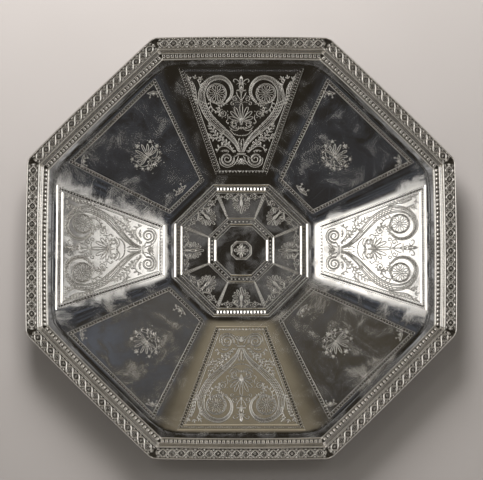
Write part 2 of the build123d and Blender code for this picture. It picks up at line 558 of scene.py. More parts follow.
def scroll_flower(relief, centre, radius, start):
    """A small spiral with a tail and scallops."""
    relief.coil(centre, radius, radius * 0.2, start, 560, 0.42, 0.22)
    for i in range(7):
        angle = start + 30 + i * 42
        lobe = turned([(radius * 1.12, 0)], angle)[0] + np.array(centre)
        relief.bead(lobe[0], lobe[1], 0.8, 0.6, angle, 0.18, 6)
    relief.bead(centre[0], centre[1], 0.9, height=0.28, sides=6)


def acanthus(relief, points, leaves, size, side):
    """A curved leaf: a rib with overlapping lobes along its outer side."""
    rib = curve(points)
    relief.stroke(rib, 0.5, 0.22)
    along = np.gradient(rib, axis=0)
    for i in range(leaves):
        at = int((i + 0.6) * len(rib) / (leaves + 0.4))
        angle = math.degrees(math.atan2(along[at, 1], along[at, 0]))
        length = size * (0.65 + 0.35 * math.sin(math.pi * (i + 0.5) / leaves))
        relief.petal(rib[at], angle + side * 58, length, size * 0.42, 0.22)


def heart_leaves(half):
    """The leaves inside the heart, and those between the scroll and the border."""
    # leaves that fill the heart below the rosette
    leafy_stem(half, [(-10.9, 106.0), (-14.2, 104.2), (-16.6, 101.4), (-15.6, 98.0)], 1.9)
    acanthus(half, [(-21.4, 109.6), (-22.0, 105.0), (-20.0, 101.0), (-16.8, 99.4)], 5, 2.6, -1)
    acanthus(half, [(-9.6, 104.6), (-13.2, 105.4), (-17.2, 104.8), (-20.6, 106.8)], 5, 1.9, -1)
    scroll_flower(half, (-12.8, 98.4), 3.0, 100)
    half.trail([(-9.9, 97.4), (-9.4, 94.6), (-10.6, 92.4), (-9.6, 91.2)], 0.4, 0.2)
    half.bead(-9.4, 91.3, 1.2, height=0.24)
    # the outer leaves between the scroll and the border
    acanthus(half, [(-30.4, 104.0), (-32.0, 110.0), (-32.8, 116.0), (-35.4, 121.4)], 7, 3.2, 1)
    acanthus(half, [(-29.0, 113.0), (-29.4, 118.0), (-31.4, 122.6)], 5, 2.6, -1)
    for x, y, angle in ((-36.6, 123.6, 120), (-33.2, 124.2, 80), (-29.4, 123.6, 60)):
        bud(half, (x, y - 1.4), angle, 3.0)
    half.trail([(-38.4, 122.4), (-36.0, 120.6), (-34.2, 117.0), (-33.4, 112.0)], 0.45, 0.2)


def heart_volutes(half):
    """The lower volutes, their leaves and the side sprays."""
    half.coil((-10.0, 66.0), 5.2, 0.7, 20, -740, 0.62, 0.26)
    half.coil((-10.0, 66.0), 4.5, 1.6, 20, -500, 0.3, 0.15)
    half.trail([(-5.2, 67.6), (-3.0, 68.6), (-1.4, 69.4)], 0.6, 0.24)
    half.trail([(-15.4, 67.0), (-14.6, 62.4), (-10.4, 60.2), (-6.0, 61.4), (-3.4, 64.4),
                (-1.6, 68.4)], 0.5, 0.22)
    acanthus(half, [(-17.4, 70.6), (-15.6, 74.0), (-11.6, 75.0), (-7.8, 73.0), (-5.2, 70.4)],
             7, 3.0, 1)
    acanthus(half, [(-14.6, 71.4), (-11.6, 72.4), (-8.6, 71.4)], 4, 1.6, -1)
    leafy_stem(half, [(-6.8, 74.2), (-11.0, 77.6), (-15.4, 80.4), (-19.0, 84.4), (-21.8, 89.0)],
               2.8, every=2.6)
    leafy_stem(half, [(-11.6, 78.6), (-14.2, 82.8), (-13.0, 85.0)], 1.8)
    leafy_stem(half, [(-16.4, 81.4), (-20.4, 80.0), (-22.6, 82.6)], 1.9)
    half.trail([(-4.6, 71.4), (-6.8, 73.2), (-9.8, 78.2)], 0.4, 0.18)
    half.bead(-4.8, 71.4, 1.5, height=0.26)


def heart_middle(half):
    """What stands beside the middle line: lily, urn and palmette."""
    half.trail([(-0.6, 118.6), (-2.2, 121.4), (-4.6, 122.6), (-5.6, 121.2), (-4.6, 120.2)],
               0.5, 0.22)
    half.trail([(-0.7, 118.0), (-1.9, 119.6), (-3.4, 118.8)], 0.4, 0.18)
    half.trail([(-0.6, 112.4), (-1.0, 115.2), (-1.5, 117.8), (-0.3, 120.0)], 0.4, 0.2)
    half.trail([(-0.5, 108.0), (-2.4, 110.6), (-3.6, 113.6)], 0.45, 0.22)
    half.coil((-4.4, 108.6), 2.1, 0.5, 60, 430, 0.45, 0.22)
    half.coil((-6.2, 105.2), 1.5, 0.4, 60, 400, 0.4, 0.2)
    half.trail([(-0.4, 105.6), (-2.4, 106.4), (-4.6, 105.8)], 0.4, 0.18)
    for lean, length, width in ((24, 10.4, 2.8), (48, 9.4, 2.7), (74, 8.2, 2.6), (102, 7.0, 2.4)):
        half.loop((-0.5, 93.2), 90 + lean, length, width, 0.42, 0.22)
    half.coil((-4.6, 90.6), 2.5, 0.6, 40, 430, 0.45, 0.22)
    half.trail([(-8.6, 89.0), (-6.6, 86.8), (-3.6, 86.2), (-1.0, 87.8)], 0.5, 0.22)
    acanthus(half, [(-0.5, 88.4), (-3.0, 87.6), (-5.8, 88.4), (-7.8, 90.4)], 4, 1.5, -1)
    for x, y in curve([(-7.6, 86.2), (-5.4, 83.9), (-2.7, 82.7), (-0.65, 82.6)], 1.25):
        half.bead(x, y, 0.85, height=0.26, sides=6)
    half.trail([(-1.0, 81.0), (-2.0, 78.8), (-1.2, 75.6)], 0.35, 0.16)
    half.bead(-1.4, 79.6, 0.9, height=0.2, sides=6)
    # small palmette at the inner end
    for lean, length in ((16, 4.6), (36, 5.4), (58, 5.6)):
        half.trail([(-0.5, 66.4), turned([(length * 0.6, 0)], 270 - lean)[0] + (0, 66.0),
                    turned([(length, 0)], 262 - lean)[0] + (0, 66.0)], 0.5, 0.22)


def heart_axis(relief):
    """The pieces on the middle line."""
    relief.petal((0, 118.4), 90, 6.6, 2.6, 0.3)
    relief.petal((0, 112.6), 90, 5.2, 1.6, 0.26)
    relief.bead(0, 114.6, 7.4, 1.2, 0, 0.26)
    relief.bead(0, 107.6, 1.8, 2.2, 0, 0.3)
    relief.stroke(line((0, 105.0), (0, 113.6)), 0.5, 0.22)
    relief.loop((0, 94.2), 90, 11.2, 3.0, 0.45, 0.24)
    relief.petal((0, 90.0), 90, 5.6, 2.6, 0.34)
    relief.bead(0, 88.0, 1.6, height=0.3)
    relief.petal((0, 80.0), 270, 8.0, 0.9, 0.2)
    relief.bead(0, 69.6, 6.6, 1.5, 0, 0.32)
    relief.bead(0, 71.4, 3.6, 1.1, 0, 0.28)
    relief.petal((0, 66.6), 270, 4.4, 1.3, 0.26)


def heart_panel():
    """The whole ornament of one square-on panel, with its border."""
    half = Relief()
    lyre_scroll(half)
    rosette(half, (-17.6, 112.4), 7.0)
    heart_leaves(half)
    heart_volutes(half)
    heart_middle(half)
    relief = Relief()
    relief.merge(half)
    relief.merge(half, mirror=True)
    heart_axis(relief)
    panel_border(relief, Panel(45.4, 18.3), plain_outer=True, wide=4.4)
    return relief


# ---- the four diagonal panels: a small anthemion on a plain ground
ANTHEMION = 94.0  # centre of the salver to the heart of the anthemion


def sprig(relief, base, angle, size, height=0.2):
    """A light five-leaved sprig that grows from its base, with a bead on each side."""
    for lean, length in ((-72, 0.6), (-34, 0.8), (0, 1.0), (34, 0.8), (72, 0.6)):
        relief.petal(base, angle + lean, size * length, size * 0.24, height)
    for lean in (-54, 54):
        bead = turned([(size * 1.05, 0)], angle + lean)[0] + np.array(base)
        relief.bead(bead[0], bead[1], 0.55, height=height, sides=6)


def corner_spray(relief, place, angle, size=1.0):
    """A small corner ornament of thin scrolls that opens along the angle."""
    spray = Relief()
    sprig(spray, (1.4, 0), 0, 2.8)
    for side in (1, -1):
        spray.coil((1.4, 3.0 * side), 1.4, 0.35, -90 * side, 380 * side, 0.36, 0.2)
        spray.trail([(0.0, 0), (2.2, 2.2 * side), (4.6, 3.0 * side)], 0.32, 0.18)
        spray.trail([(0.0, 0), (0.9, 2.8 * side), (1.4, 4.3 * side)], 0.32, 0.18)
        bud(spray, (4.4, 3.0 * side), 24 * side, 1.5)
        bud(spray, (1.4, 4.2 * side), 72 * side, 1.4)
    spray.bead(0.2, 0, 0.9, height=0.28, sides=6)
    relief.merge(spray, angle=angle, move=place, scale=size)


def anthemion_panel():
    """The whole ornament of one diagonal panel, with its border."""
    half = Relief()
    heart = np.array([0.0, ANTHEMION])
    for lean, length, width in ((18, 8.8, 1.9), (44, 8.3, 1.9), (69, 7.6, 1.8), (94, 6.8, 1.6)):
        root = turned([(0.7, 0)], 90 + lean)[0] + heart
        half.loop(root, 90 + lean, length, width, 0.42, 0.24)
        tip = turned([(length + 0.9, 0)], 90 + lean)[0] + heart
        half.bead(tip[0], tip[1], 0.7, height=0.24, sides=6)
    for lean, distance, size in ((54, 10.4, 2.4), (84, 9.6, 2.6), (112, 8.6, 2.0), (138, 7.6, 2.2)):
        place = turned([(distance, 0)], 90 + lean)[0] + heart
        sprig(half, place, 90 + lean * 0.9, size)
    half.trail([(-0.6, 91.6), (-3.6, 90.2), (-6.4, 91.0), (-8.6, 93.2), (-9.4, 96.0)],
               0.36, 0.2)
    half.trail([(-8.2, 92.4), (-8.0, 96.0), (-8.6, 99.4)], 0.32, 0.18)
    half.coil((-3.5, 88.5), 1.6, 0.4, 80, 420, 0.4, 0.22)
    half.trail([(-0.5, 90.6), (-2.2, 87.4), (-4.6, 85.8)], 0.36, 0.2)
    half.bead(-2.2, 91.6, 1.1, 0.8, 30, 0.24)
    half.bead(-2.6, 105.6, 0.6, height=0.24, sides=6)
    half.bead(-5.6, 83.4, 0.7, height=0.22, sides=6)
    panel = Panel(44.0, 17.5)
    outer, inner = panel.corner(1, 4.6), panel.corner(-1, 5.2)
    corner_spray(half, (-outer[0] + 1.5, outer[1] - 1.4), -52, 0.88)
    relief = Relief()
    relief.merge(half)
    relief.merge(half, mirror=True)
    corner_spray(relief, (0, inner[1]), 90)
    sprig(relief, (0, ANTHEMION + 9.6), 90, 3.2)
    relief.bead(0, ANTHEMION + 8.6, 0.8, height=0.28, sides=6)
    relief.bead(0, ANTHEMION, 1.9, 1.6, 90, 0.34)
    for step in (1.7, 2.9, 4.1):
        relief.bead(0, ANTHEMION - step, 0.9, height=0.26, sides=6)
    sprig(relief, (0, ANTHEMION - 6.0), 270, 3.4)
    panel_border(relief, panel, plain_outer=False, wide=3.5)
    return relief


# ---- the medallion
def octagon_line(relief, reach, width, height=0.05):
    """One side of an octagon's line, centre to side given by reach."""
    end = reach * TAN_HALF
    relief.roof((-end, reach), (end, reach), width, 8.0, height)
    for edge in (reach - width / 2 - 0.3, reach + width / 2 + 0.3):
        end = edge * TAN_HALF
        relief.rule((-end, edge), (end, edge), 0.34, 0.14)


OUTER_LINE = 46.9  # centre of the salver to the medallion's lines and rows, square to a side
BLOCK_ROW = 44.5
SECOND_LINE = 42.4
THIRD_LINE = 22.8
BEAD_ROW = 20.7
INNER_LINE = 18.4
LEAVES_FROM = 23.6  # where the leaf band on the mitre starts and ends
LEAVES_TO = 41.4


def medallion_sector():
    """One side of the medallion: borders, palmette, garland and the leaf band at one corner."""
    half = Relief()
    for lean, length in ((26, 4.4), (50, 4.2), (76, 4.0), (102, 3.8), (128, 3.4)):
        root = turned([(2.3, 0)], 270 - lean)[0] + (0, 34.6)
        half.loop(root, 270 - lean, length, 1.9, 0.42, 0.22)
    half.coil((-3.4, 37.4), 1.9, 0.4, 40, 430, 0.42, 0.22)
    half.trail([(-1.2, 40.4), (-4.4, 39.2), (-6.6, 37.6), (-9.0, 38.6), (-11.2, 40.2)],
               0.4, 0.2)
    half.coil((-7.6, 39.6), 1.3, 0.35, -60, 400, 0.36, 0.2)
    half.coil((-11.4, 38.8), 1.5, 0.35, 80, -400, 0.36, 0.2)
    for x, y, angle in ((-5.6, 38.0, 250), (-9.6, 38.0, 262), (-13.2, 39.4, 230), (-2.2, 40.0, 130),
                        (-9.4, 40.2, 110)):
        bud(half, (x, y), angle, 1.8, 0.2)
    relief = Relief()
    relief.merge(half)
    relief.merge(half, mirror=True)
    relief.loop((0, 31.8), 270, 5.2, 2.0, 0.42, 0.24)
    relief.petal((0, 37.4), 270, 6.0, 2.5, 0.4)
    relief.bead(0, 38.2, 1.8, height=0.3)
    bud(relief, (0, 38.8), 90, 2.6, 0.26)
    octagon_line(relief, OUTER_LINE, 1.15)
    end = BLOCK_ROW * TAN_HALF - 0.6
    for place in even_row((-end, BLOCK_ROW), (end, BLOCK_ROW), 2.35)[0]:
        relief.block(place, 1.05, 1.8, 0)
    octagon_line(relief, SECOND_LINE, 1.0)
    octagon_line(relief, THIRD_LINE, 0.75)
    end = BEAD_ROW * TAN_HALF - 0.4
    for x, y in even_row((-end, BEAD_ROW), (end, BEAD_ROW), 2.6)[0]:
        relief.bead(x, y, 1.2, height=0.32)
    octagon_line(relief, INNER_LINE, 1.2)
    # the leaf band lies along the left-hand mitre
    tangent = np.array([-math.sin(HALF_SECTOR), math.cos(HALF_SECTOR)])
    across = np.array([tangent[1], -tangent[0]])
    near, far = (tangent * reach / math.cos(HALF_SECTOR) for reach in (LEAVES_FROM, LEAVES_TO))
    for offset in (-0.75, 0.75):
        relief.stroke(line(near + across * offset * 0.6, far + across * offset * 1.4), 0.4, 0.22)
    mitre = 90 + math.degrees(HALF_SECTOR)
    for x, y in even_row(near, far, 1.7)[0]:
        relief.petal((x, y), mitre + 180, 1.9, 0.95, 0.24)
    bud(relief, near, mitre + 180, 1.6)
    return relief


def centre_ornament():
    """A small octagonal cartouche with a four-petalled lattice: a generic ornament."""
    relief = Relief()
    cut = 3.4
    for wide, tall, width, height in ((7.0, 6.3, 0.75, 0.34), (6.0, 5.3, 0.3, 0.16)):
        c = cut * wide / 7.0
        ring = [(wide - c, tall), (-wide + c, tall), (-wide, tall - c), (-wide, -tall + c),
                (-wide + c, -tall), (wide - c, -tall), (wide, -tall + c), (wide, tall - c)]
        for a, b in zip(ring, ring[1:] + ring[:1]):
            relief.rule(a, b, width, height, 1.0)
    for i in range(4):
        relief.loop(turned([(0.7, 0)], 90 * i)[0], 90 * i, 4.1, 2.6, 0.6, 0.3)
        relief.petal(turned([(0.9, 0)], 90 * i + 45)[0], 90 * i + 45, 3.4, 1.3, 0.28)
        relief.petal(turned([(1.1, 0)], 90 * i)[0], 90 * i, 2.8, 1.0, 0.26)
    relief.bead(0, 0, 1.6, height=0.4)
    return relief


# ---- the border: strips and mouldings follow each side, round the corners, to the mitres
def rim_length(reach):
    """Half the length of a border line at a distance from the centre, up to the mitre."""
    bend = max(0.0, CORNER_ROUND - (HALF_WIDTH - reach))
    straight = (reach - SIDE_BOW) * TAN_HALF - bend * TAN_HALF
    return straight + bend * HALF_SECTOR


def rim_points(along, reach):
    """Sector plan of border points, given their way along the side and reach from the centre."""
    bend = np.maximum(0.0, CORNER_ROUND - (HALF_WIDTH - reach))
    straight = (reach - SIDE_BOW - bend) * TAN_HALF
    half = straight + bend * HALF_SECTOR
    past = np.maximum(0.0, np.abs(along) - straight)
    angle = np.where(bend > 0, past / np.maximum(bend, 1e-6), 0.0)
    angle = np.minimum(angle, HALF_SECTOR)
    bow = SIDE_BOW * np.minimum(1.0, np.abs(along) / half) ** 2
    extra = np.where(bend > 0, 0.0, past)
    x = np.sign(along) * (np.minimum(np.abs(along), straight) + bend * np.sin(angle) + extra)
    y = reach - bow - bend * (1 - np.cos(angle))
    return x, y


def rim_bar(profile, cuts=(40, 6)):
    """A mitred bar of a closed profile of (reach, height) points, clockwise seen from the left."""
    reach = np.array([p[0] for p in profile])
    level = np.array([p[1] for p in profile])
    count = len(profile)
    straight_cuts, corner_cuts = cuts
    share = np.concatenate([
        np.linspace(-1, -0.9, corner_cuts, endpoint=False),
        np.linspace(-0.9, 0.9, straight_cuts),
        np.linspace(0.9, 1, corner_cuts + 1)[1:],
    ])
    half = np.array([rim_length(r) for r in reach])
    points = []
    for s in share:
        x, y = rim_points(s * half, reach)
        points.append(np.column_stack([x, y, level]))
    faces = []
    for i in range(len(share) - 1):
        for j in range(count):
            k = (j + 1) % count
            a, b = i * count, (i + 1) * count
            faces.append((a + j, b + j, b + k, a + k))
    faces.append(tuple(range(count)))
    faces.append(tuple(reversed(range((len(share) - 1) * count, len(share) * count))))
    return np.vstack(points), faces, np.tile(reach, len(share))


def rim_piece(name, profile, relief, ground, sector, material, node):
    """One side's length of border: its bar, and relief that stands on the bar's ground height."""
    bar, faces, bar_reach = rim_bar(profile)
    flat = np.vstack(relief.points)
    x, y = rim_points(flat[:, 0], flat[:, 1])
    level = np.interp(flat[:, 1], ground[0], ground[1]) + flat[:, 2]
    raised = np.column_stack([x, y, level])
    faces = faces + [tuple(n + len(bar) for n in face) for face in relief.faces]
    points = np.vstack([bar, raised])
    points[:, 2] += BAND_TOP
    px, py = sector_plan(points, sector)
    # the guilloche's sunk ground takes the dark recess colour, partly tarnish and partly painted
    # shade
    in_ground = (bar_reach > ground[0][0] - 0.01) & (bar_reach < ground[0][-1] + 0.01)
    in_ground &= bar[:, 2] > 0.1
    height = np.concatenate([np.where(in_ground, 0.0, 1.0), np.clip(flat[:, 2] / SHADE_FREE_BORDER, 0, 1)])
    return make_object(name, np.column_stack([px, py, points[:, 2]]), faces, material,
                       height, replaced=[node])


STRIP_BAND_OUT = HALF_WIDTH - 1.05  # outer edge of the guilloche's sunk ground
STRIP_BAND_IN = HALF_WIDTH - 7.8  # its inner edge
STRIP_IN = HALF_WIDTH - 9.25  # inner edge of the border strip
EYE_PITCH = 6.45  # spacing of the guilloche's eyes
EYES = 18  # eyes to a side


def strip_profile():
    """Closed section of the border strip, as reach from the centre and height over the band."""
    out = HALF_WIDTH
    return [
        (out, -1.5), (out - 1.3, -1.5), (out - 1.3, 0.0), (STRIP_IN, 0.0), (STRIP_IN, 3.6),
        (STRIP_IN + 0.08, 4.2), (STRIP_IN + 0.25, 4.45), (STRIP_IN + 0.9, 4.6),
        (STRIP_IN + 1.2, 4.48), (STRIP_IN + 1.36, 4.1), (STRIP_BAND_IN, 3.2),
        (STRIP_BAND_IN + 0.05, 3.12), (STRIP_BAND_IN + 2.2, 3.3), (STRIP_BAND_OUT - 2.2, 3.3),
        (STRIP_BAND_OUT - 0.05, 3.12), (STRIP_BAND_OUT, 3.2), (out - 0.88, 4.0),
        (out - 0.68, 4.24), (out - 0.45, 4.3), (out - 0.2, 4.2), (out - 0.03, 3.9), (out, 3.5),
    ]


def guilloche():
    """Two ribbons that cross between round eyes, with flowers in the eyes and leaves beside."""
    relief = Relief()
    middle = (STRIP_BAND_OUT + STRIP_BAND_IN) / 2
    reach = EYES * EYE_PITCH / 2
    along = np.linspace(-reach, reach, EYES * 14 + 1)
    wave = np.sin(np.pi * (along + reach) / EYE_PITCH)
    swing = 2.6
    for side in (1, -1):
        ribbon = np.column_stack([along, middle + side * swing * wave])
        relief.stroke(ribbon, 1.25, 0.66, taper=0.8)
    for i in range(EYES):
        x = -reach + (i + 0.5) * EYE_PITCH
        if i % 2:
            for petal in range(6):
                lobe = turned([(0.95, 0)], 60 * petal)[0] + (x, middle)
                relief.bead(lobe[0], lobe[1], 0.85, 0.62, 60 * petal, 0.42, 6)
            relief.bead(x, middle, 1.0, height=0.6, sides=8)
        else:
            relief.ring((x, middle), 1.35, 0.45, 0.42)
            relief.bead(x, middle, 0.6, 1.9, 0, 0.5, 6)
    for i in range(EYES + 1):
        x = -reach + i * EYE_PITCH
        for side in (1, -1):
            foot = (x, middle + side * 3.25)
            for lean in (-58, -20, 20, 58):
                relief.petal(foot, -90 * side + lean, 1.7, 0.6, 0.34)
            relief.bead(x, middle + side * 2.9, 0.8, height=0.44, sides=6)
    for side in (1, -1):
        x = side * (reach + 1.3)
        for lean in (-50, -25, 0, 25, 50):
            relief.petal((side * reach, middle), (0 if side > 0 else 180) + lean, 2.3, 0.7, 0.4)
    return relief


DENTIL_OUT = HALF_WIDTH - 11.9  # edges of the dentil row
DENTIL_IN = HALF_WIDTH - 14.35
MOULD_IN = HALF_WIDTH - 15.8  # inner edge of the moulding
DENTIL_PITCH = 3.05


def moulding_profile():
    """Closed section of the inner moulding: edge fillet, dentil floor and two sloping reeds."""
    out = STRIP_IN
    return [
        (out, 0.0), (MOULD_IN, 0.0), (MOULD_IN, 0.5), (MOULD_IN + 0.1, 0.95),
        (MOULD_IN + 0.35, 1.2), (MOULD_IN + 1.1, 1.38), (DENTIL_IN - 0.1, 1.25),
        (DENTIL_IN - 0.03, 0.9), (DENTIL_IN + 0.05, 0.6), (DENTIL_OUT - 0.05, 1.0),
        (DENTIL_OUT, 1.2), (DENTIL_OUT + 0.05, 2.6), (DENTIL_OUT + 0.2, 2.78),
        (DENTIL_OUT + 0.95, 2.95), (DENTIL_OUT + 1.2, 2.8), (DENTIL_OUT + 1.3, 2.25),
        (DENTIL_OUT + 1.4, 2.38), (DENTIL_OUT + 2.1, 2.56), (DENTIL_OUT + 2.3, 2.4),
        (out - 0.3, 2.1), (out - 0.02, 2.2), (out, 2.2),
    ]


def dentils():
    """A row of small square blocks."""
    relief = Relief()
    middle = (DENTIL_OUT + DENTIL_IN) / 2
    reach = rim_length(middle) - 0.5
    for x, y in even_row((-reach, middle), (reach, middle), DENTIL_PITCH)[0]:
        relief.bead(x, y, 2.3, 2.2, 0, 0.85, 4, shoulder=0.9)
    return relief


# ---- the plate
def plate_mesh(material):
    """The dished sheet: concentric octagons of points on top, the same underneath, and an edge."""
    edge = HALF_WIDTH - 1.55  # inside the strip's lip
    bend_from = 137  # from here outwards the rings take the border's bowed outline
    reaches = np.concatenate([
        np.linspace(2, 46, 12), np.linspace(47, 55, 13), np.linspace(58, 126, 24),
        np.linspace(127, bend_from, 14), np.linspace(139, edge, 4),
    ])
    steps = 44  # points to a side
    t = np.linspace(-1, 1, steps, endpoint=False)
    layers = []
    for reach in reaches:
        for sector in range(SIDES):
            ring = np.column_stack([t * reach * TAN_HALF, np.full(steps, reach)])
            if reach > bend_from:
                share = (reach - bend_from) / (edge - bend_from)
                half = rim_length(reach)
                bx, by = rim_points(t * half, np.full(steps, reach))
                bent = np.column_stack([bx, by])
                ring = ring * (1 - share) + bent * share
            x, y = sector_plan(ring[::-1], sector)
            layers.append(np.column_stack([x, y]))
    plan = np.vstack(layers)
    top = plate_surface(plan[:, 0], plan[:, 1])
    around = SIDES * steps
    upper = np.column_stack([plan, top])
    under = np.column_stack([plan, top - SHEET])
    middle_top = len(upper) * 2
    points = np.vstack([upper, under, [[0, 0, CENTRE_TOP], [0, 0, CENTRE_TOP - SHEET]]])
    faces = []
    rows = len(reaches)
    below = len(upper)
    for r in range(rows - 1):
        for j in range(around):
            k = (j + 1) % around
            a, b = r * around, (r + 1) * around
            faces.append((a + j, b + j, b + k, a + k))
            faces.append((below + a + k, below + b + k, below + b + j, below + a + j))
    last = (rows - 1) * around
    for j in range(around):
        k = (j + 1) % around
        faces.append((middle_top, j, k))
        faces.append((middle_top + 1, below + k, below + j))
        faces.append((last + k, last + j, below + last + j, below + last + k))
    return make_object("plate_sheet", points, faces, material, 1.0,
                       replaced=["well_plate"])


# ---- feet
def foot_mesh(number, material):
    """A turned foot with a reeded ball, a neck and a pad that lies against its facet."""
    low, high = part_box(f"foot_{number}")
    cx, cy = (low.x + high.x) / 2 / MM, (low.y + high.y) / 2 / MM
    reach = math.hypot(cx, cy)
    profile = [(5.2, 0.0), (5.5, 0.15)]
    for t in np.linspace(-0.95, 0.95, 13):
        profile.append((5.0 + 4.3 * math.cos(t * 1.25), 4.3 + 4.25 * math.sin(t * 1.35)))
    profile += [(5.6, 8.75), (5.25, 9.2), (5.05, 9.8), (5.3, 10.5), (6.0, 11.1), (7.0, 11.6)]
    around = 48
    reeds = 16
    reed_depth = 0.035  # as a share of the radius
    points = []
    for radius, level in profile:
        for i in range(around):
            angle = 2 * math.pi * i / around
            dip = (1 - math.cos(angle * reeds)) / 2 if 1.5 < level < 7.5 else 0.0
            reed = 1 - reed_depth * dip
            points.append((cx + radius * reed * math.cos(angle),
                           cy + radius * reed * math.sin(angle), level))
    outward = (cx / reach, cy / reach)

    def underside(x, y):
        """Underside of the plate over a point in plan."""
        out = x * outward[0] + y * outward[1]
        return CENTRE_TOP - SHEET + FACET_SLOPE * (out - CENTRE_FLAT)

    for radius, drop in ((7.6, 1.15), (11.6, 1.1), (12.5, 0.85), (12.95, 0.35), (12.95, 0.02)):
        for i in range(around):
            angle = 2 * math.pi * i / around
            x, y = cx + radius * math.cos(angle), cy + radius * math.sin(angle)
            points.append((x, y, underside(x, y) - drop))
    faces = tube_faces(len(points) // around, around)
    return make_object(f"foot_cast_{number}", points, faces, material, 1.0,
                       replaced=[f"foot_{number}"])


# ---- shader nodes
class Graph:
    """A node tree built by short calls. A value is a number, a colour or another node's socket."""

    def __init__(self, tree):
        self.tree = tree
        tree.nodes.clear()

    def node(self, kind):
        return self.tree.nodes.new("ShaderNode" + kind)

    def put(self, on, **values):
        """Sets or links values on the inputs of one node, which are named with _ for a space."""
        for key, value in values.items():
            self.join(value, on.inputs[key.replace("_", " ")])

    def join(self, value, socket):
        if isinstance(value, (int, float)):
            socket.default_value = value
        elif isinstance(value, tuple):
            socket.default_value = (*value, 1.0)
        else:
            self.tree.links.new(value, socket)

    def noise(self, source, scale, detail=4.0, rough=0.55, distort=0.0):
        node = self.node("TexNoise")
        self.put(on=node, Vector=source, Scale=scale, Detail=detail, Roughness=rough,
                 Distortion=distort)
        return node.outputs["Fac"]

    def ramp(self, source, low, high, first=0.0, last=1.0):
        """A smooth change from first to last as the source goes from low to high."""
        node = self.node("MapRange")
        node.interpolation_type = "SMOOTHSTEP"
        self.put(on=node, Value=source, From_Min=low, From_Max=high, To_Min=first, To_Max=last)
        return node.outputs[0]

    def maths(self, kind, a, b=0.0):
        node = self.node("Math")
        node.operation = kind
        self.join(a, node.inputs[0])
        self.join(b, node.inputs[1])
        return node.outputs[0]

    def plus(self, a, b):
        return self.maths("ADD", a, b)

    def minus(self, a, b):
        return self.maths("SUBTRACT", a, b)

    def times(self, first, *others):
        for other in others:
            first = self.maths("MULTIPLY", first, other)
        return first

    def size(self, a):
        return self.maths("ABSOLUTE", a)

    def mix(self, factor, a, b):
        """From a to b as the factor goes from 0 to 1."""
        node = self.node("Mix")
        node.data_type = "RGBA"
        self.put(on=node, Factor=factor, A=a, B=b)
        return node.outputs["Result"]

    def attribute(self, name):
        node = self.node("Attribute")
        node.attribute_name = name
        return node.outputs["Fac"]


# ---- silver
TARNISHED_ROUGH = 0.30  # roughness added in the recesses
SCRATCHED_ROUGH = 0.045  # roughness added along the scratches
POLISH_SHARE = 0.5  # share of its roughness that a bright-cut form loses


def silver(name, tint, tarnish_and_shade_colour, smooth, cloudy, scratch_angles, cloud_size=0.03):
    """Polished silver: roughness from smooth to cloudy in patches, fine scratches along the
    angles, faint stains, and a dark colour in the recesses of the relief that is partly tarnish
    and partly painted shade."""
    material = bpy.data.materials.new(name)
    material.use_nodes = True
    g = Graph(material.node_tree)
    output = g.node("OutputMaterial")
    shader = g.node("BsdfPrincipled")
    g.join(shader.outputs[0], output.inputs[0])
    place = g.node("TexCoord").outputs["Object"]

    def streaks(angle, across, along):
        """Coordinates drawn out along the angle, by sizes in metres."""
        turn = g.node("Mapping")
        turn.vector_type = "TEXTURE"
        turn.inputs["Rotation"].default_value = (0, 0, math.radians(angle))
        turn.inputs["Scale"].default_value = (along, across, along)
        g.join(place, turn.inputs["Vector"])
        return turn.outputs[0]

    haze = g.ramp(g.noise(place, 1 / cloud_size, 5.0, 0.6, 0.8), 0.42, 0.72)
    marks = 0.0
    for i, angle in enumerate(scratch_angles):
        fine = g.ramp(g.noise(streaks(angle, 0.0009, 0.07), 1.0, 2.0, 0.5, 0.15), 0.60, 0.68)
        where = g.ramp(g.noise(place, 16.0 + 9 * i, 3.0), 0.40, 0.60)
        marks = g.maths("MAXIMUM", marks, g.times(fine, where))
    grain = g.noise(streaks(scratch_angles[0], 0.00045, 0.012), 1.0, 2.0, 0.5)
    dents = g.noise(place, 26.0, 2.0, 0.5)
    bumper = g.node("Bump")
    depth = g.plus(g.plus(g.times(marks, 0.02), g.times(grain, 0.05)), g.times(dents, 7.0))
    g.put(on=bumper, Strength=0.10, Distance=0.0001, Height=depth)

    # painted shade and tarnish: 1 where the relief is low, on the dark borders round raised forms,
    # the strips under the pads and the guilloche's sunk ground
    shade_and_tarnish_mask = g.ramp(g.attribute("relief"), 0.05, 0.6, 1.0, 0.0)
    rough = g.plus(g.times(haze, cloudy - smooth), smooth)
    rough = g.plus(rough, g.times(marks, SCRATCHED_ROUGH))
    rough = g.plus(rough, g.times(shade_and_tarnish_mask, TARNISHED_ROUGH))
    rough = g.times(rough, g.minus(1.0, g.times(g.attribute("polish"), POLISH_SHARE)))

    stain = g.ramp(g.noise(place, 48.0, 4.0), 0.35, 0.75, 0.0, 0.16)
    # the dark colour there is partly tarnish and partly painted shade; stains lean to it too
    colour = g.mix(g.maths("MAXIMUM", g.times(shade_and_tarnish_mask, 0.98), stain), tint, tarnish_and_shade_colour)
    g.put(on=shader, Base_Color=colour, Metallic=1.0, Roughness=rough, Normal=bumper.outputs[0])
    return material


